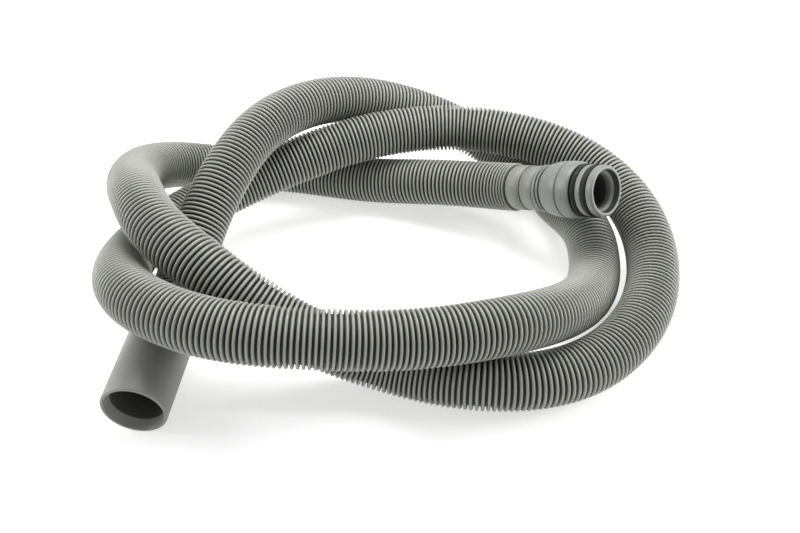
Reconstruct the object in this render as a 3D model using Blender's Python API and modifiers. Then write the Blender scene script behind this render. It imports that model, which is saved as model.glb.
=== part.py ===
"""Drain hose for a dishwasher, lying in a loose coil of a little over two turns.

The corrugated hose is one blown tube. Its plain sleeve at one end is pushed over a rigid connector
with two O-rings, and its other end is bonded into a smooth cuff that fits over a sink spigot.
Units are metres, +Z is up, and the coil lies on the plane z = 0 with its outline centred on the origin.
"""
import math

import bmesh
import bpy
import numpy as np
from mathutils import Vector

# Clearance between pieces that touch
GAP = 0.0003

# Corrugated hose, over its rings, and from the rings' tops through the wall to the bore
HOSE_OD = 0.025
RING_AND_WALL = 0.003

# Plain sleeve that the hose ends in, round the connector's tail
SLEEVE_OD = 0.023
SLEEVE_WALL = 0.0012
SLEEVE_LENGTH = 0.0172
STEP_LENGTH = 0.0008

# Connector, from its tail to its rim
TAIL_WALL = 0.0012
TAIL_INSET = 0.002
RIB_HEIGHT = 0.0004
RIB_WIDTH = 0.0017
RIB_GROOVE_WIDTH = 0.0009
RIB_GROOVE_DEPTH = 0.0010
CONE_RISE = 0.0018
CONE_LENGTH = 0.0112
BARREL_STEP = 0.0004
BARREL_LENGTH = 0.0075
LAND_OD = 0.0246
LAND_LENGTH = 0.0027
RIM_LENGTH = 0.0035
RIM_WALL = 0.0021
RIM_CHAMFER = 0.001
MOUTH_CHAMFER = 0.0003
MOUTH_DEPTH = 0.0032

# O-rings, seated in the connector's two grooves
RING_SECTION = 0.0029
RING_STANDS_OUT = 0.0006

# Smooth cuff for the sink spigot
CUFF_LENGTH = 0.0555
CUFF_SOCKET_WALL = 0.0012
CUFF_SOCKET_DEPTH = 0.020
CUFF_STOP_LENGTH = 0.002
CUFF_MOUTH_WALL = 0.0028
CUFF_EDGE = 0.0006
LEAD_IN_LENGTH = 0.0045
LEAD_IN_RISE = 0.0013

# How finely round pieces are divided
TURNED_STEPS = 48
RING_SIDES = 12
HOSE_SIDES = 12
HOSE_POINTS = 80
SAMPLES_BETWEEN_PLACES = 60

# How far a cutter runs past the ends of what it cuts
CUT_PAST = 0.001

# The way the connector and the cuff point, away from the hose
CONNECTOR_AXIS = Vector((0.662, -0.646, 0.379)).normalized()
CUFF_AXIS = Vector((-0.097, -0.990, -0.097)).normalized()

# Places that the middle of the hose passes, from the connector's sleeve to the back of the cuff.
# They are drawn for a hose 25 mm thick, and the coil of a thicker hose is as much larger.
ROUTE = [
    (0.0615, 0.0250, 0.0325),
    (0.0240, 0.0460, 0.0220),
    (-0.0200, 0.0620, 0.0138),
    (-0.0620, 0.0725, 0.0128),
    (-0.0970, 0.0695, 0.0170),
    (-0.1210, 0.0540, 0.0285),
    (-0.1317, 0.0300, 0.0400),
    (-0.1298, 0.0040, 0.0490),
    (-0.1210, -0.0200, 0.0570),
    (-0.1075, -0.0455, 0.0590),
    (-0.0825, -0.0675, 0.0515),
    (-0.0460, -0.0810, 0.0310),
    (-0.0080, -0.0855, 0.0143),
    (0.0340, -0.0960, 0.0132),
    (0.0760, -0.0890, 0.0126),
    (0.1080, -0.0600, 0.0135),
    (0.1230, -0.0220, 0.0170),
    (0.1205, 0.0148, 0.0251),
    (0.1025, 0.0416, 0.0343),
    (0.0705, 0.0605, 0.0408),
    (0.0285, 0.0710, 0.0417),
    (-0.0150, 0.0640, 0.0405),
    (-0.0580, 0.0470, 0.0340),
    (-0.0960, 0.0260, 0.0260),
    (-0.1200, -0.0040, 0.0255),
    (-0.1255, -0.0400, 0.0337),
    (-0.1125, -0.0765, 0.0446),
    (-0.0790, -0.0990, 0.0475),
    (-0.0350, -0.1045, 0.0455),
    (0.0100, -0.0990, 0.0410),
    (0.0470, -0.0860, 0.0366),
    (0.0760, -0.0605, 0.0238),
    (0.0950, -0.0220, 0.0130),
    (0.0955, 0.0110, 0.0162),
    (0.0862, 0.0390, 0.0134),
    (0.0755, 0.0670, 0.0132),
    (0.0510, 0.0915, 0.0205),
    (0.0060, 0.0965, 0.0400),
    (-0.0400, 0.0750, 0.0564),
    (-0.0700, 0.0420, 0.0584),
    (-0.0860, 0.0090, 0.0495),
    (-0.0960, -0.0200, 0.0350),
    (-0.1031, -0.0585, 0.0194),
]

# Moves the coil so that the middle of its outline stands over the origin
COIL_SHIFT = Vector((0.0040, 0.0032, 0.0))

HOSE_COLOUR = (0.38, 0.38, 0.35)
CONNECTOR_COLOUR = (0.35, 0.36, 0.35)
RING_COLOUR = (0.02, 0.02, 0.02)
CUFF_COLOUR = (0.29, 0.29, 0.275)


def make_material(name, colour, roughness):
    """A plain moulded finish for one piece."""
    material = bpy.data.materials.new(name)
    material.use_nodes = True
    shader = material.node_tree.nodes["Principled BSDF"]
    shader.inputs["Base Color"].default_value = (*colour, 1.0)
    shader.inputs["Roughness"].default_value = roughness
    shader.inputs["Metallic"].default_value = 0.0
    return material


def coil_place(place):
    """A place on the route, which is drawn for a 25 mm hose, moved and scaled to the hose as built."""
    return (Vector(place) + COIL_SHIFT) * (HOSE_OD / 0.025)


def smooth_route(places, start_heading, end_heading, count):
    """Evenly spaced points on the cubic spline through the places, with a set heading at each end."""
    place = np.array(places)
    chord = np.linalg.norm(np.diff(place, axis=0), axis=1)
    slope = np.diff(place, axis=0) / chord[:, None]
    last = len(place) - 1
    system = np.zeros((last + 1, last + 1))
    right = np.zeros((last + 1, 3))
    system[0, :2] = 2 * chord[0], chord[0]
    right[0] = 6 * (slope[0] - np.array(start_heading))
    for i in range(1, last):
        system[i, i - 1:i + 2] = chord[i - 1], 2 * (chord[i - 1] + chord[i]), chord[i]
        right[i] = 6 * (slope[i] - slope[i - 1])
    system[last, last - 1:] = chord[-1], 2 * chord[-1]
    right[last] = 6 * (np.array(end_heading) - slope[-1])
    bend = np.linalg.solve(system, right)
    fine = []
    for i in range(last):
        for b in np.linspace(0.0, 1.0, SAMPLES_BETWEEN_PLACES, endpoint=(i == last - 1)):
            a = 1.0 - b
            curl = (a ** 3 - a) * bend[i] + (b ** 3 - b) * bend[i + 1]
            fine.append(a * place[i] + b * place[i + 1] + curl * chord[i] ** 2 / 6)
    fine = np.array(fine)
    run = np.concatenate(([0.0], np.cumsum(np.linalg.norm(np.diff(fine, axis=0), axis=1))))
    wanted = np.linspace(0.0, run[-1], count)
    return [Vector(np.interp(w, run, fine[:, axis]) for axis in range(3)) for w in wanted]


def tube(name, stations, collection):
    """A solid tube along (point, radius) stations, as a mesh with its caps welded on."""
    curve = bpy.data.curves.new(name, "CURVE")
    curve.dimensions = "3D"
    curve.twist_mode = "Z_UP"
    curve.bevel_depth = HOSE_OD / 2
    curve.bevel_resolution = (HOSE_SIDES - 4) // 2
    curve.use_fill_caps = True
    spline = curve.splines.new("POLY")
    spline.points.add(len(stations) - 1)
    for point, (place, radius) in zip(spline.points, stations):
        point.co = (*place, 1.0)
        point.radius = radius / curve.bevel_depth
    guide = bpy.data.objects.new(name + "_guide", curve)
    collection.objects.link(guide)
    bpy.context.view_layer.update()
    evaluated = guide.evaluated_get(bpy.context.evaluated_depsgraph_get())
    mesh = bpy.data.meshes.new_from_object(evaluated)
    body = bmesh.new()
    body.from_mesh(mesh)
    bmesh.ops.remove_doubles(body, verts=body.verts, dist=0.00001)
    body.to_mesh(mesh)
    body.free()
    mesh.name = name
    solid = bpy.data.objects.new(name, mesh)
    solid.matrix_world = guide.matrix_world
    collection.objects.link(solid)
    bpy.data.objects.remove(guide)
    return solid


def turned(name, profile, place, axis, collection):
    """A turned piece: a closed profile of (radius, height) spun about its own +Z, laid along axis."""
    mesh = bpy.data.meshes.new(name)
    outline = bmesh.new()
    corners = [outline.verts.new((radius, 0.0, height)) for radius, height in profile]
    for corner, following in zip(corners, corners[1:] + corners[:1]):
        outline.edges.new((corner, following))
    outline.to_mesh(mesh)
    outline.free()
    piece = bpy.data.objects.new(name, mesh)
    collection.objects.link(piece)
    spin = piece.modifiers.new("Spin", "SCREW")
    spin.angle = math.tau
    spin.steps = TURNED_STEPS
    spin.render_steps = TURNED_STEPS
    spin.use_merge_vertices = True
    spin.merge_threshold = 0.00001
    lay_along(piece, place, axis)
    return piece


def lay_along(piece, place, axis):
    """Puts a piece at a place, with its own +Z turned to an axis."""
    piece.rotation_mode = "QUATERNION"
    piece.rotation_quaternion = axis.to_track_quat("Z", "Y")
    piece.location = place


def finish(piece, material):
    """Gives a piece its material and smooth shading between its sharp edges."""
    piece.data.materials.clear()
    piece.data.materials.append(material)
    piece.data.shade_smooth()
    piece.data.set_sharp_from_angle(angle=math.radians(40))


def make_hose(collection, cutters):
    """The blown tube: its coil, its plain sleeve at one end and its last rings inside the cuff."""
    start = coil_place(ROUTE[0])
    end = coil_place(ROUTE[-1])
    route_points = smooth_route(ROUTE, -CONNECTOR_AXIS, CUFF_AXIS, HOSE_POINTS)
    coil = [coil_place(point) for point in route_points]
    hose_end = end + CUFF_AXIS * CUFF_SOCKET_DEPTH
    sleeve_end = start + CONNECTOR_AXIS * SLEEVE_LENGTH
    step = start + CONNECTOR_AXIS * STEP_LENGTH
    outer = [(sleeve_end, SLEEVE_OD / 2), (step, SLEEVE_OD / 2)]
    outer += [(point, HOSE_OD / 2) for point in coil]
    outer += [(hose_end, HOSE_OD / 2)]
    hose = tube("corrugated_hose", outer, collection)
    past_sleeve = sleeve_end + CONNECTOR_AXIS * CUT_PAST
    past_end = hose_end + CUFF_AXIS * CUT_PAST
    inner = [(past_sleeve, sleeve_bore_radius()), (step, sleeve_bore_radius())]
    inner += [(point, hose_bore_radius()) for point in coil]
    inner += [(past_end, hose_bore_radius())]
    bore = tube("hose_bore", inner, cutters)
    bore.hide_render = True
    bore.display_type = "WIRE"
    cut = hose.modifiers.new("Bore", "BOOLEAN")
    cut.operation = "DIFFERENCE"
    cut.solver = "EXACT"
    cut.object = bore
    return hose


def hose_bore_radius():
    """Radius of the hose's bore, inside the troughs between its rings."""
    return HOSE_OD / 2 - RING_AND_WALL


def sleeve_bore_radius():
    """Radius of the sleeve's bore, at the corners of its sides."""
    return SLEEVE_OD / 2 - SLEEVE_WALL


def tail_radius():
    """Radius of the connector's tail, clear of the flats of the sleeve's bore."""
    return sleeve_bore_radius() * math.cos(math.pi / HOSE_SIDES) - GAP


def groove_width():
    """Width of a groove for an O-ring."""
    return RING_SECTION + 2 * GAP


def connector_heights():
    """Heights along the connector, from the hose's last ring, of each of its shoulders."""
    heights = {"tail": TAIL_INSET, "flange": SLEEVE_LENGTH + GAP}
    heights["cone"] = heights["flange"] + 2 * (RIB_WIDTH + RIB_GROOVE_WIDTH)
    heights["barrel"] = heights["cone"] + CONE_LENGTH
    heights["rear_groove"] = heights["barrel"] + BARREL_LENGTH
    heights["land"] = heights["rear_groove"] + groove_width()
    heights["front_groove"] = heights["land"] + LAND_LENGTH
    heights["rim"] = heights["front_groove"] + groove_width()
    heights["face"] = heights["rim"] + RIM_LENGTH
    return heights


def make_connector(collection):
    """The rigid spigot: tail, ribs, cone, barrel, two grooves and a chamfered rim, on a stepped bore."""
    at = connector_heights()
    bore = tail_radius() - TAIL_WALL
    rib = SLEEVE_OD / 2 + RIB_HEIGHT
    cone_top = rib + CONE_RISE
    barrel = cone_top + BARREL_STEP
    land = LAND_OD / 2
    root = ring_radius() - RING_SECTION / 2 - GAP
    mouth = land - RIM_WALL
    profile = [
        (land - RIM_CHAMFER, at["face"]),
        (land, at["face"] - RIM_CHAMFER),
        (land, at["rim"]),
        (root, at["rim"]),
        (root, at["front_groove"]),
        (land, at["front_groove"]),
        (land, at["land"]),
        (root, at["land"]),
        (root, at["rear_groove"]),
        (barrel, at["rear_groove"]),
        (barrel, at["barrel"]),
        (cone_top, at["barrel"]),
        (rib, at["cone"]),
    ]
    height = at["cone"]
    for _ in range(2):
        profile += [(rib - RIB_GROOVE_DEPTH, height), (rib - RIB_GROOVE_DEPTH, height - RIB_GROOVE_WIDTH)]
        profile += [(rib, height - RIB_GROOVE_WIDTH), (rib, height - RIB_GROOVE_WIDTH - RIB_WIDTH)]
        height -= RIB_GROOVE_WIDTH + RIB_WIDTH
    profile += [
        (tail_radius(), at["flange"]),
        (tail_radius(), at["tail"]),
        (bore, at["tail"]),
        (bore, at["face"] - MOUTH_DEPTH),
        (mouth, at["face"] - MOUTH_DEPTH),
        (mouth, at["face"] - MOUTH_CHAMFER),
        (mouth + MOUTH_CHAMFER, at["face"]),
    ]
    return turned("machine_connector", profile, coil_place(ROUTE[0]), CONNECTOR_AXIS, collection)


def ring_radius():
    """Radius of the middle of an O-ring's section."""
    return LAND_OD / 2 + RING_STANDS_OUT - RING_SECTION / 2


def make_ring(name, groove, collection):
    """One O-ring, in the middle of the groove that starts at the named height."""
    bpy.ops.mesh.primitive_torus_add(
        major_segments=TURNED_STEPS,
        minor_segments=RING_SIDES,
        major_radius=ring_radius(),
        minor_radius=RING_SECTION / 2,
    )
    ring = bpy.context.active_object
    ring.name = name
    ring.data.name = name
    for owner in list(ring.users_collection):
        owner.objects.unlink(ring)
    collection.objects.link(ring)
    height = connector_heights()[groove] + groove_width() / 2
    lay_along(ring, coil_place(ROUTE[0]) + CONNECTOR_AXIS * height, CONNECTOR_AXIS)
    return ring


def make_cuff(collection):
    """The smooth cuff: a socket round the hose's last rings, a stop, and a bore with a lead-in."""
    outer = HOSE_OD / 2 + GAP + CUFF_SOCKET_WALL
    socket = HOSE_OD / 2 + GAP
    stop = CUFF_SOCKET_DEPTH + GAP
    mouth = outer - CUFF_MOUTH_WALL
    profile = [
        (outer - CUFF_EDGE, CUFF_LENGTH),
        (outer, CUFF_LENGTH - CUFF_EDGE),
        (outer, 0.0),
        (socket, 0.0),
        (socket, stop),
        (hose_bore_radius(), stop),
        (hose_bore_radius(), stop + CUFF_STOP_LENGTH),
        (mouth, stop + CUFF_STOP_LENGTH),
        (mouth, CUFF_LENGTH - LEAD_IN_LENGTH),
        (mouth + LEAD_IN_RISE, CUFF_LENGTH),
    ]
    return turned("sink_cuff", profile, coil_place(ROUTE[-1]), CUFF_AXIS, collection)


def main():
    for leftover in list(bpy.data.objects):
        bpy.data.objects.remove(leftover, do_unlink=True)
    parts = bpy.data.collections.new("drain_hose")
    cutters = bpy.data.collections.new("cutters")
    bpy.context.scene.collection.children.link(parts)
    bpy.context.scene.collection.children.link(cutters)
    hose_plastic = make_material("hose_plastic", HOSE_COLOUR, 0.5)
    connector_plastic = make_material("connector_plastic", CONNECTOR_COLOUR, 0.35)
    ring_rubber = make_material("ring_rubber", RING_COLOUR, 0.4)
    cuff_plastic = make_material("cuff_plastic", CUFF_COLOUR, 0.45)
    finish(make_hose(parts, cutters), hose_plastic)
    finish(make_connector(parts), connector_plastic)
    finish(make_ring("rear_o_ring", "rear_groove", parts), ring_rubber)
    finish(make_ring("front_o_ring", "front_groove", parts), ring_rubber)
    finish(make_cuff(parts), cuff_plastic)


main()
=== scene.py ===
"""A dishwasher's drain hose, lying in a loose coil on a pale table."""
import math

import bmesh
import bpy
import numpy as np
from mathutils import Matrix, Vector


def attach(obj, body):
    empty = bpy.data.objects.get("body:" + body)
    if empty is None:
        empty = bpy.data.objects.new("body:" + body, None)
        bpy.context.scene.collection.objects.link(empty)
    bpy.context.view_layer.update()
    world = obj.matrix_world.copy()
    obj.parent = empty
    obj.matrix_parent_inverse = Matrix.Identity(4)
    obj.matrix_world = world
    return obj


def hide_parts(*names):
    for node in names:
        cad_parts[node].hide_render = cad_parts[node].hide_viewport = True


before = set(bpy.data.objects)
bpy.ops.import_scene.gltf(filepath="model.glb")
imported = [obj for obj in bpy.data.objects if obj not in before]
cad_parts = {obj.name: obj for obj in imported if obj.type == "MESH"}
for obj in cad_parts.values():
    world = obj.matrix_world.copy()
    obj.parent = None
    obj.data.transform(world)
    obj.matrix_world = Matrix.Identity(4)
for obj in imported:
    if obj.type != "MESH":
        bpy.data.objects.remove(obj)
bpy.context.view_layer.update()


# The camera stands in front of the coil, a little under half a metre away, and looks down on it.
# It aims at the middle of the coil's outline on the table.
VIEW_CENTRE = Vector((0.0040, 0.0032, 0.0))
VIEW_DEPRESSION = math.radians(38)
VIEW_DISTANCE = 0.456
VIEW_LENS = 39.6

camera_lens = bpy.data.cameras.new("camera")
camera_lens.lens = VIEW_LENS
camera = bpy.data.objects.new("camera", camera_lens)
bpy.context.scene.collection.objects.link(camera)
back_from_centre = Vector((0.0, -math.cos(VIEW_DEPRESSION), math.sin(VIEW_DEPRESSION)))
camera.location = VIEW_CENTRE + VIEW_DISTANCE * back_from_centre
camera.rotation_euler = (math.pi / 2 - VIEW_DEPRESSION, 0.0, 0.0)
bpy.context.scene.camera = camera


# The hose is one tube of grey polypropylene, extruded and blown into close round rings. At the
# machine end the same tube has no rings: a plain sleeve in two bands, pushed over the connector's
# tail. Its other end is bonded into the cuff. It lies in a coil of a little over two turns.
HOSE_OD = 0.025
HOSE_WALL = 0.0009
RING_PITCH = 0.00225
RING_DEPTH = 0.0022
RING_LINE = [(0.00, 0.0), (0.24, 0.0), (0.35, 0.76), (0.61, 1.0), (0.88, 0.76)]
HOSE_SIDES = 25
SLEEVE_LENGTH = 0.0172
SLEEVE_OD = 0.023
SLEEVE_BAND = 0.0081
SLEEVE_STEP = 0.0007
SLEEVE_TONE = 0.79
# The step between the sleeve's bands takes the grooves' painted shade.
STEP_SHADE_TONE = 0.3
CUFF_SOCKET_DEPTH = 0.020

CONNECTOR_AXIS = Vector((0.662, -0.646, 0.379)).normalized()
CUFF_AXIS = Vector((-0.097, -0.990, -0.097)).normalized()
COIL_SHIFT = Vector((0.0040, 0.0032, 0.0))
ROUTE = [
    (0.0615, 0.0250, 0.0325),
    (0.0240, 0.0460, 0.0220),
    (-0.0200, 0.0620, 0.0138),
    (-0.0620, 0.0725, 0.0128),
    (-0.0970, 0.0695, 0.0170),
    (-0.1210, 0.0540, 0.0285),
    (-0.1317, 0.0300, 0.0400),
    (-0.1298, 0.0040, 0.0490),
    (-0.1210, -0.0200, 0.0570),
    (-0.1075, -0.0455, 0.0590),
    (-0.0825, -0.0675, 0.0515),
    (-0.0460, -0.0810, 0.0310),
    (-0.0080, -0.0855, 0.0143),
    (0.0340, -0.0960, 0.0132),
    (0.0760, -0.0890, 0.0126),
    (0.1080, -0.0600, 0.0135),
    (0.1230, -0.0220, 0.0170),
    (0.1205, 0.0148, 0.0251),
    (0.1025, 0.0416, 0.0343),
    (0.0705, 0.0605, 0.0408),
    (0.0285, 0.0710, 0.0417),
    (-0.0150, 0.0640, 0.0405),
    (-0.0580, 0.0470, 0.0340),
    (-0.0960, 0.0260, 0.0260),
    (-0.1200, -0.0040, 0.0255),
    (-0.1255, -0.0400, 0.0337),
    (-0.1125, -0.0765, 0.0446),
    (-0.0790, -0.0990, 0.0475),
    (-0.0350, -0.1045, 0.0455),
    (0.0100, -0.0990, 0.0410),
    (0.0470, -0.0860, 0.0366),
    (0.0760, -0.0605, 0.0238),
    (0.0950, -0.0220, 0.0130),
    (0.0955, 0.0110, 0.0162),
    (0.0862, 0.0390, 0.0134),
    (0.0755, 0.0670, 0.0132),
    (0.0510, 0.0915, 0.0205),
    (0.0060, 0.0965, 0.0400),
    (-0.0400, 0.0750, 0.0564),
    (-0.0700, 0.0420, 0.0584),
    (-0.0860, 0.0090, 0.0495),
    (-0.0960, -0.0200, 0.0350),
    (-0.1031, -0.0585, 0.0194),
]


def smooth_route(places, start_heading, end_heading):
    """Close points on the cubic spline through the places, with a set heading at each end."""
    place = np.array(places)
    chord = np.linalg.norm(np.diff(place, axis=0), axis=1)
    slope = np.diff(place, axis=0) / chord[:, None]
    last = len(place) - 1
    system = np.zeros((last + 1, last + 1))
    right = np.zeros((last + 1, 3))
    system[0, :2] = 2 * chord[0], chord[0]
    right[0] = 6 * (slope[0] - np.array(start_heading))
    for i in range(1, last):
        system[i, i - 1:i + 2] = chord[i - 1], 2 * (chord[i - 1] + chord[i]), chord[i]
        right[i] = 6 * (slope[i] - slope[i - 1])
    system[last, last - 1:] = chord[-1], 2 * chord[-1]
    right[last] = 6 * (np.array(end_heading) - slope[-1])
    bend = np.linalg.solve(system, right)
    points = []
    for i in range(last):
        for b in np.linspace(0.0, 1.0, 60, endpoint=(i == last - 1)):
            a = 1.0 - b
            curl = (a ** 3 - a) * bend[i] + (b ** 3 - b) * bend[i + 1]
            points.append(a * place[i] + b * place[i + 1] + curl * chord[i] ** 2 / 6)
    return np.array(points)


def hose_line():
    """The hose's centre line from the sleeve's open end to the end inside the cuff."""
    coil = smooth_route(ROUTE, -CONNECTOR_AXIS, CUFF_AXIS)
    sleeve = [coil[0] + np.array(CONNECTOR_AXIS) * d for d in np.linspace(SLEEVE_LENGTH, 0.0, 12)[:-1]]
    tail = [coil[-1] + np.array(CUFF_AXIS) * d for d in np.linspace(0.0, CUFF_SOCKET_DEPTH, 12)[1:]]
    return np.vstack([sleeve, coil, tail]) + np.array(COIL_SHIFT)


def untwisted_frames(points):
    """For each point: the distance run so far, and two directions across the line that don't twist."""
    run = np.concatenate(([0.0], np.cumsum(np.linalg.norm(np.diff(points, axis=0), axis=1))))
    heading = np.gradient(points, axis=0)
    heading /= np.linalg.norm(heading, axis=1, keepdims=True)
    side = np.cross(heading[0], (0.0, 0.0, 1.0))
    sides = []
    for forward in heading:
        side = side - forward * side.dot(forward)
        side = side / np.linalg.norm(side)
        sides.append(side)
    sides = np.array(sides)
    return run, sides, np.cross(heading, sides)


def hose_outline(length):
    """The hose's skin as (radius, distance): sleeve bands, then every ring, then the end's wall."""
    crest = HOSE_OD / 2
    root = crest - RING_DEPTH
    sleeve = SLEEVE_OD / 2
    step = SLEEVE_BAND - SLEEVE_STEP
    outline = [
        (sleeve - 2 * HOSE_WALL, SLEEVE_LENGTH * 0.8),
        (sleeve - 2 * HOSE_WALL, 0.0),
        (sleeve - 0.0005, 0.0),
        (sleeve - 0.0002, 0.0003),
        (sleeve - 0.0002, step),
        (sleeve - 0.0006, step + 0.0001),
        (sleeve - 0.0006, SLEEVE_BAND - 0.0001),
        (sleeve, SLEEVE_BAND),
        (sleeve, SLEEVE_LENGTH - 0.0008),
        (sleeve - 0.0004, SLEEVE_LENGTH - 0.0002),
    ]
    rings = round((length - SLEEVE_LENGTH) / RING_PITCH)
    pitch = (length - SLEEVE_LENGTH) / rings
    inside = root - HOSE_WALL
    for ring in range(rings):
        start = SLEEVE_LENGTH + ring * pitch
        outline += [(root + rise * RING_DEPTH, start + share * pitch) for share, rise in RING_LINE]
    outline += [(root, length), (inside, length), (inside, length - CUFF_SOCKET_DEPTH)]
    return outline


def make_piece(name, mesh_work):
    """Turns a finished bmesh into an object that stands at the origin, shaded smooth."""
    mesh = bpy.data.meshes.new(name)
    mesh_work.to_mesh(mesh)
    mesh_work.free()
    mesh.shade_smooth()
    piece = bpy.data.objects.new(name, mesh)
    bpy.context.scene.collection.objects.link(piece)
    return piece


def spin_outline(outline, steps):
    """A bmesh with an open line of (radius, height) spun once about +Z."""
    work = bmesh.new()
    corners = [work.verts.new((radius, 0.0, height)) for radius, height in outline]
    line = [work.edges.new(pair) for pair in zip(corners, corners[1:])]
    bmesh.ops.spin(
        work, geom=corners + line, axis=(0.0, 0.0, 1.0), cent=(0.0, 0.0, 0.0),
        angle=math.tau, steps=steps, use_merge=True,
    )
    bmesh.ops.recalc_face_normals(work, faces=work.faces)
    return work


def point_at(distance, run, values):
    """The point or direction at a distance along a line, between its own values."""
    return np.array([np.interp(distance, run, values[:, i]) for i in range(3)])


def make_hose(line):
    """Spins the straight hose, notes how deep each point lies, and bends it along its line.

    Depth is 0 in a groove and 1 on a ring's top, and it sets the painted shade that darkens
    the grooves. The sleeve has the tone of a ring's shoulder, and the fine step between its bands the
    painted shade of a groove.
    """
    run, sides, ups = untwisted_frames(line)
    work = spin_outline(hose_outline(run[-1]), HOSE_SIDES)
    height = work.verts.layers.float.new("ring_height")
    root = HOSE_OD / 2 - RING_DEPTH
    step_start = SLEEVE_BAND - SLEEVE_STEP + 0.00005
    step_end = SLEEVE_BAND - 0.00005
    for vert in work.verts:
        x, y, s = vert.co
        vert[height] = (math.hypot(x, y) - root) / RING_DEPTH
        # The sleeve takes a shoulder's tone, and the step between its bands takes painted groove shade.
        if s < SLEEVE_LENGTH - 0.0003:
            vert[height] = STEP_SHADE_TONE if step_start < s < step_end else SLEEVE_TONE
        centre, side, up = (point_at(s, run, values) for values in (line, sides, ups))
        vert.co = Vector(centre + x * side + y * up)
    return make_piece("ringed_hose", work)


def new_material(name):
    """A Principled material, with its node tree and shader."""
    material = bpy.data.materials.new(name)
    material.use_nodes = True
    tree = material.node_tree
    return material, tree, tree.nodes["Principled BSDF"]


def add_noise(tree, scale, detail, roughness=0.5):
    """A noise pattern that stands still in the object's own space."""
    place = tree.nodes.new("ShaderNodeTexCoord")
    noise = tree.nodes.new("ShaderNodeTexNoise")
    noise.inputs["Scale"].default_value = scale
    noise.inputs["Detail"].default_value = detail
    noise.inputs["Roughness"].default_value = roughness
    tree.links.new(place.outputs["Object"], noise.inputs["Vector"])
    return noise.outputs["Fac"]


def add_ramp(tree, value, stops):
    """A colour ramp over a value, from (place, colour) stops."""
    ramp = tree.nodes.new("ShaderNodeValToRGB")
    while len(ramp.color_ramp.elements) < len(stops):
        ramp.color_ramp.elements.new(0.5)
    for element, (place, colour) in zip(ramp.color_ramp.elements, stops):
        element.position = place
        element.color = (*colour, 1.0)
    tree.links.new(value, ramp.inputs["Fac"])
    return ramp.outputs["Color"]


def add_mix(tree, blend, share, first, second):
    """A colour mix: blend is how, share a number or a value, first and second the two colours."""
    mix = tree.nodes.new("ShaderNodeMix")
    mix.data_type = "RGBA"
    mix.blend_type = blend
    for socket, source in (("Factor", share), ("A", first), ("B", second)):
        target = next(entry for entry in mix.inputs if entry.name == socket and entry.enabled)
        if isinstance(source, bpy.types.NodeSocket):
            tree.links.new(source, target)
        else:
            target.default_value = source
    return next(entry for entry in mix.outputs if entry.enabled)


def add_range(tree, value, low, high):
    """Maps a value from 0 to 1 on to a range."""
    scale = tree.nodes.new("ShaderNodeMapRange")
    scale.inputs["To Min"].default_value = low
    scale.inputs["To Max"].default_value = high
    tree.links.new(value, scale.inputs["Value"])
    return scale.outputs["Result"]


def add_shade(tree, colour, deep):
    """Darkens a colour by a piece's own shade value, which is 1 where shade is painted into bores, grooves
    and recesses.
    """
    shade = tree.nodes.new("ShaderNodeAttribute")
    shade.attribute_name = "shade"
    return add_mix(tree, "MIX", shade.outputs["Fac"], colour, (*deep, 1.0))


def add_bump(tree, shader, value, height):
    """Fine relief on a shader, in metres of height."""
    bump = tree.nodes.new("ShaderNodeBump")
    bump.inputs["Strength"].default_value = 1.0
    bump.inputs["Distance"].default_value = height
    tree.links.new(value, bump.inputs["Height"])
    tree.links.new(bump.outputs["Normal"], shader.inputs["Normal"])


def hose_material():
    """Satin grey polypropylene, a little paler on the rings' tops, with painted shade darkening the flanks
    and grooves nearly to black.
    """
    material, tree, shader = new_material("hose_plastic")
    ring = tree.nodes.new("ShaderNodeAttribute")
    ring.attribute_name = "ring_height"
    depth = ring.outputs["Fac"]
    # Painted shade by depth: near black in the grooves, dark on the flanks, paler up to the rings' tops.
    groove_painted_shade = (0.026, 0.027, 0.023)
    flank_painted_shade = (0.075, 0.077, 0.068)
    on_shoulder = (0.35, 0.358, 0.324)
    on_crest = (0.45, 0.456, 0.418)
    body = add_ramp(tree, depth, [(0.0, groove_painted_shade), (0.62, flank_painted_shade), (0.84, on_shoulder), (1.0, on_crest)])
    dulled = (0.90, 0.90, 0.90)
    clean = (1.0, 1.0, 1.0)
    clouds = add_ramp(tree, add_noise(tree, 35.0, 4.0), [(0.3, dulled), (0.7, clean)])
    colour = add_mix(tree, "MULTIPLY", 1.0, body, clouds)
    tree.links.new(colour, shader.inputs["Base Color"])
    tree.links.new(add_range(tree, add_noise(tree, 220.0, 3.0), 0.34, 0.52), shader.inputs["Roughness"])
    add_bump(tree, shader, add_noise(tree, 1400.0, 2.0), 0.00003)
    shader.inputs["Specular IOR Level"].default_value = 0.45
    return material


hose_path = hose_line()
hose = make_hose(hose_path)
hose.data.materials.append(hose_material())
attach(hose, "root")
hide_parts("corrugated_hose")


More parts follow.
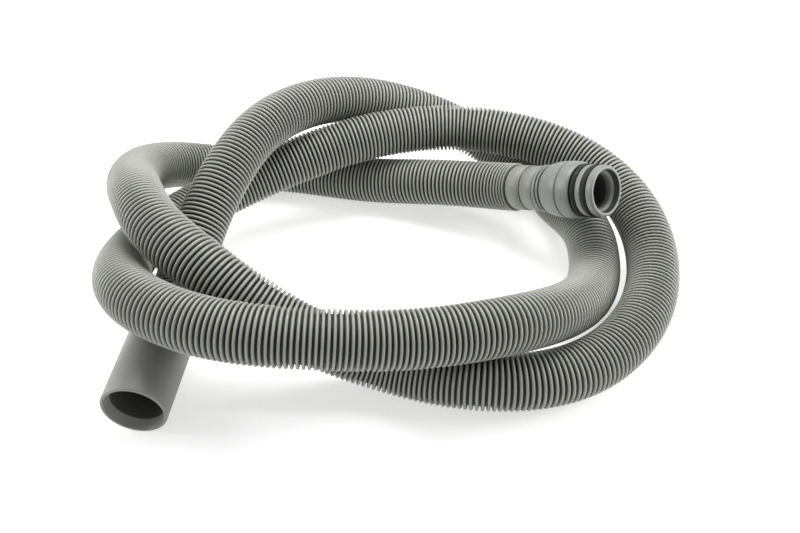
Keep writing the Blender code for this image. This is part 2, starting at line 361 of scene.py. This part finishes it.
# The machine connector is one rigid grey moulding. A tail goes inside the hose's sleeve, two thin
# ribs stop it there, and a cone widens to a barrel. Two grooves hold the O-rings, and a chamfered
# rim leads the connector into the dishwasher's outlet.
CONNECTOR_STEPS = 96
CONNECTOR_ROUNDING = 0.00018
# How far painted shade darkens the bore, the grooves, the O-rings' seats and the mouth's wall.
GROOVE_SHADE = 0.85
CONNECTOR_LINE = [
    (0.00845, 0.0020),
    (0.00960, 0.0020),
    (0.00960, 0.0181),
    (0.01190, 0.0181),
    (0.01190, 0.0198),
    (0.01090, 0.0198),
    (0.01090, 0.0206),
    (0.01190, 0.0206),
    (0.01190, 0.0218),
    (0.01090, 0.0218),
    (0.01090, 0.0229),
    (0.01195, 0.0229),
    (0.01270, 0.0242),
    (0.01335, 0.0266),
    (0.01385, 0.0300),
    (0.01405, 0.0335),
    (0.01365, 0.0336),
    (0.01365, 0.0344),
    (0.01410, 0.0346),
    (0.01400, 0.0368),
    (0.01375, 0.0392),
    (0.01335, 0.0408),
    (0.01290, 0.0414),
    (0.00970, 0.0414),
    (0.00970, 0.0449),
    (0.01230, 0.0449),
    (0.01230, 0.0476),
    (0.00970, 0.0476),
    (0.00970, 0.0511),
    (0.01230, 0.0511),
    (0.01230, 0.0537),
    (0.01195, 0.0543),
    (0.01140, 0.0546),
    (0.01060, 0.0546),
    (0.01030, 0.0543),
    (0.01020, 0.0517),
    (0.01005, 0.0514),
    (0.00875, 0.0507),
    (0.00850, 0.0500),
    (0.00850, 0.0488),
    (0.00845, 0.0476),
]


def round_corners(work, rounding, sharper_than=math.radians(25)):
    """Rounds each turned edge that bends sharply."""
    inner = [edge for edge in work.edges if len(edge.link_faces) == 2]
    sharp = [edge for edge in inner if edge.calc_face_angle() > sharper_than]
    bmesh.ops.bevel(
        work, geom=sharp, offset=rounding, offset_type="OFFSET", segments=2, profile=0.5,
        affect="EDGES", material=-1, clamp_overlap=True,
    )


def lay_along(work, place, axis):
    """Moves a turned shape's own +Z on to an axis that starts at a place."""
    turn = axis.to_track_quat("Z", "Y").to_matrix().to_4x4()
    bmesh.ops.transform(work, matrix=Matrix.Translation(place) @ turn, verts=work.verts)


def make_connector():
    """The connector, its closed outline spun, rounded, marked with painted shade in its bore, grooves and
    mouth, and laid along its axis.
    """
    work = spin_outline(CONNECTOR_LINE + CONNECTOR_LINE[:1], CONNECTOR_STEPS)
    bmesh.ops.remove_doubles(work, verts=work.verts, dist=0.00001)
    bmesh.ops.recalc_face_normals(work, faces=work.faces)
    round_corners(work, CONNECTOR_ROUNDING)
    shade = work.verts.layers.float.new("shade")
    # Painted shade: the bore, the rib and cone grooves, the O-rings' seats and the mouth's wall are
    # darkened where shade falls.
    for vert in work.verts:
        radius = math.hypot(vert.co.x, vert.co.y)
        height = vert.co.z
        in_bore = radius < 0.0086 and height < 0.0480
        in_rib_groove = radius < 0.0115 and height < 0.0240
        in_cone_groove = radius < 0.0137 and 0.0330 < height < 0.0345
        on_land = abs(radius - 0.0123) < 0.0003
        under_ring = 0.0095 < radius < 0.0130 and 0.0412 < height < 0.0512 and not on_land
        in_mouth = 0.0101 < radius < 0.0104 and height > 0.0515
        dark = in_bore or in_rib_groove or in_cone_groove or under_ring or in_mouth
        vert[shade] = GROOVE_SHADE if dark else 0.0
    lay_along(work, Vector(ROUTE[0]) + COIL_SHIFT, CONNECTOR_AXIS)
    return make_piece("connector_moulding", work)


def connector_material():
    """Smooth grey moulded plastic with a faint ripple and handling marks, and painted shade in its bore,
    grooves and mouth.
    """
    material, tree, shader = new_material("connector_plastic")
    darker = (0.225, 0.233, 0.223)
    paler = (0.26, 0.268, 0.258)
    clouds = add_ramp(tree, add_noise(tree, 60.0, 5.0), [(0.3, darker), (0.7, paler)])
    # The shade value blends in painted shade, nearly black.
    tree.links.new(add_shade(tree, clouds, (0.03, 0.03, 0.03)), shader.inputs["Base Color"])
    tree.links.new(add_range(tree, add_noise(tree, 300.0, 4.0), 0.30, 0.45), shader.inputs["Roughness"])
    add_bump(tree, shader, add_noise(tree, 500.0, 3.0), 0.00003)
    return material


connector = make_connector()
connector.data.materials.append(connector_material())
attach(connector, "root")
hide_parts("machine_connector")


# Each O-ring is black moulded rubber, stretched into its groove. It stands a little proud of the
# land beside it, and shows the fine flash line of its mould round the outside.
O_RING_SECTION = 0.0029
O_RING_OUTSIDE = 0.0129
O_RING_MIDDLES = {"rear_o_ring": 0.04315, "front_o_ring": 0.04935}
O_RING_FLASH = 0.00004


def make_o_ring(name, height):
    """A round section spun about the connector's axis, with a flash line at its widest."""
    radius = O_RING_SECTION / 2
    middle = O_RING_OUTSIDE - radius
    section = []
    for step in range(24):
        turn = math.tau * step / 24
        reach = radius + (O_RING_FLASH if step == 0 else 0.0)
        section.append((middle + reach * math.cos(turn), height + reach * math.sin(turn)))
    work = spin_outline(section + section[:1], CONNECTOR_STEPS)
    bmesh.ops.remove_doubles(work, verts=work.verts, dist=0.00001)
    bmesh.ops.recalc_face_normals(work, faces=work.faces)
    lay_along(work, Vector(ROUTE[0]) + COIL_SHIFT, CONNECTOR_AXIS)
    return make_piece(name + "_rubber", work)


def rubber_material():
    """Black rubber with a dusty bloom."""
    material, tree, shader = new_material("ring_rubber")
    bare = (0.010, 0.010, 0.010)
    dusty = (0.022, 0.023, 0.022)
    bloom = add_ramp(tree, add_noise(tree, 400.0, 4.0), [(0.35, bare), (0.75, dusty)])
    tree.links.new(bloom, shader.inputs["Base Color"])
    tree.links.new(add_range(tree, add_noise(tree, 250.0, 3.0), 0.40, 0.60), shader.inputs["Roughness"])
    add_bump(tree, shader, add_noise(tree, 1800.0, 2.0), 0.00002)
    shader.inputs["Specular IOR Level"].default_value = 0.25
    return material


rubber = rubber_material()
for o_ring_name, o_ring_middle in O_RING_MIDDLES.items():
    o_ring = make_o_ring(o_ring_name, o_ring_middle)
    o_ring.data.materials.append(rubber)
    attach(o_ring, "root")
    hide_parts(o_ring_name)


# The cuff is a smooth, thicker sleeve of darker grey plastic, moulded and bonded round the hose's
# last rings. Its open end has a rounded lip and a short lead-in for the sink spigot.
CUFF_STEPS = 96
CUFF_ROUNDING = 0.0003
# How far painted shade darkens the cuff's bore.
BORE_SHADE = 0.8
CUFF_LINE = [
    (0.01280, 0.0000),
    (0.01400, 0.0000),
    (0.01400, 0.0547),
    (0.01382, 0.0553),
    (0.01340, 0.0555),
    (0.01275, 0.0555),
    (0.01250, 0.0551),
    (0.01135, 0.0511),
    (0.01115, 0.0508),
    (0.01115, 0.0223),
    (0.00950, 0.0223),
    (0.00950, 0.0203),
    (0.01280, 0.0203),
]


def make_cuff():
    """The cuff, its closed outline spun, rounded, marked with painted shade in its bore, and laid along its
    axis.
    """
    work = spin_outline(CUFF_LINE + CUFF_LINE[:1], CUFF_STEPS)
    bmesh.ops.remove_doubles(work, verts=work.verts, dist=0.00001)
    bmesh.ops.recalc_face_normals(work, faces=work.faces)
    round_corners(work, CUFF_ROUNDING)
    shade = work.verts.layers.float.new("shade")
    for vert in work.verts:
        in_bore = vert.co.z < 0.0510 and math.hypot(vert.co.x, vert.co.y) < 0.0116
        vert[shade] = BORE_SHADE if in_bore else 0.0
    lay_along(work, Vector(ROUTE[-1]) + COIL_SHIFT, CUFF_AXIS)
    return make_piece("cuff_moulding", work)


def cuff_material():
    """Satin darker grey plastic, a little cloudy, with soft scuffs and painted shade inside its bore."""
    material, tree, shader = new_material("cuff_plastic")
    darker = (0.245, 0.247, 0.232)
    paler = (0.29, 0.292, 0.277)
    clouds = add_ramp(tree, add_noise(tree, 45.0, 5.0), [(0.3, darker), (0.7, paler)])
    # The shade value blends in painted shade inside the bore.
    tree.links.new(add_shade(tree, clouds, (0.05, 0.05, 0.05)), shader.inputs["Base Color"])
    tree.links.new(add_range(tree, add_noise(tree, 200.0, 4.0), 0.34, 0.52), shader.inputs["Roughness"])
    add_bump(tree, shader, add_noise(tree, 700.0, 3.0), 0.00004)
    return material


cuff = make_cuff()
cuff.data.materials.append(cuff_material())
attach(cuff, "root")
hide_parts("sink_cuff")


# The table is one wide sheet of white plastic with a faint painted glow that also lights the coil from
# below, under one soft lamp above, two at the sides and a white room. The camera sees it as white, and it
# keeps the coil's soft shadow.
TABLE_SIZE = 6.0
# TABLE_GLOW is the painted glow in every ray, which lights the coil.
TABLE_GLOW = 0.30
TABLE_SEEN = 0.55
LAMPS = [
    ("lamp_over", (0.0, 0.16, 0.48), (0.42, 0.28), 2.3),
    ("lamp_left", (-0.9, 0.0, 0.30), (0.4, 0.8), 5.0),
    ("lamp_right", (0.9, 0.0, 0.30), (0.4, 0.8), 6.5),
]
ROOM_LEVEL = 0.26


def seen_directly(tree, otherwise, seen):
    """A strength with one value for light's way to the object and one for what is seen or mirrored."""
    path = tree.nodes.new("ShaderNodeLightPath")
    either = path.outputs["Is Camera Ray"]
    for ray in ("Is Glossy Ray", "Is Transmission Ray"):
        larger = tree.nodes.new("ShaderNodeMath")
        larger.operation = "MAXIMUM"
        tree.links.new(either, larger.inputs[0])
        tree.links.new(path.outputs[ray], larger.inputs[1])
        either = larger.outputs[0]
    return add_range(tree, either, otherwise, seen)


def table_material():
    """A white sheet with a faint painted glow that lights the coil from below, and which looks a little
    brighter than its light makes it.
    """
    material, tree, shader = new_material("table_white")
    shader.inputs["Base Color"].default_value = (0.92, 0.92, 0.92, 1.0)
    shader.inputs["Roughness"].default_value = 0.8
    shader.inputs["Emission Color"].default_value = (1.0, 1.0, 1.0, 1.0)
    tree.links.new(seen_directly(tree, TABLE_GLOW, TABLE_SEEN), shader.inputs["Emission Strength"])
    return material


table_work = bmesh.new()
bmesh.ops.create_grid(table_work, x_segments=1, y_segments=1, size=TABLE_SIZE / 2)
table = make_piece("table", table_work)
table.data.materials.append(table_material())

for lamp_name, lamp_place, lamp_size, lamp_power in LAMPS:
    lamp_light = bpy.data.lights.new(lamp_name, "AREA")
    lamp_light.shape = "RECTANGLE"
    lamp_light.size, lamp_light.size_y = lamp_size
    lamp_light.energy = lamp_power
    lamp = bpy.data.objects.new(lamp_name, lamp_light)
    lamp.location = lamp_place
    lamp.rotation_euler = (-Vector(lamp_place)).to_track_quat("-Z", "Y").to_euler()
    bpy.context.scene.collection.objects.link(lamp)

room = bpy.data.worlds.new("room")
bpy.context.scene.world = room
room.use_nodes = True
room_tree = room.node_tree
room_light = room_tree.nodes["Background"]
room_tree.links.new(seen_directly(room_tree, ROOM_LEVEL, 1.0), room_light.inputs["Strength"])
room_light.inputs["Color"].default_value = (1.0, 1.0, 1.0, 1.0)

bpy.context.scene.view_settings.view_transform = "Standard"
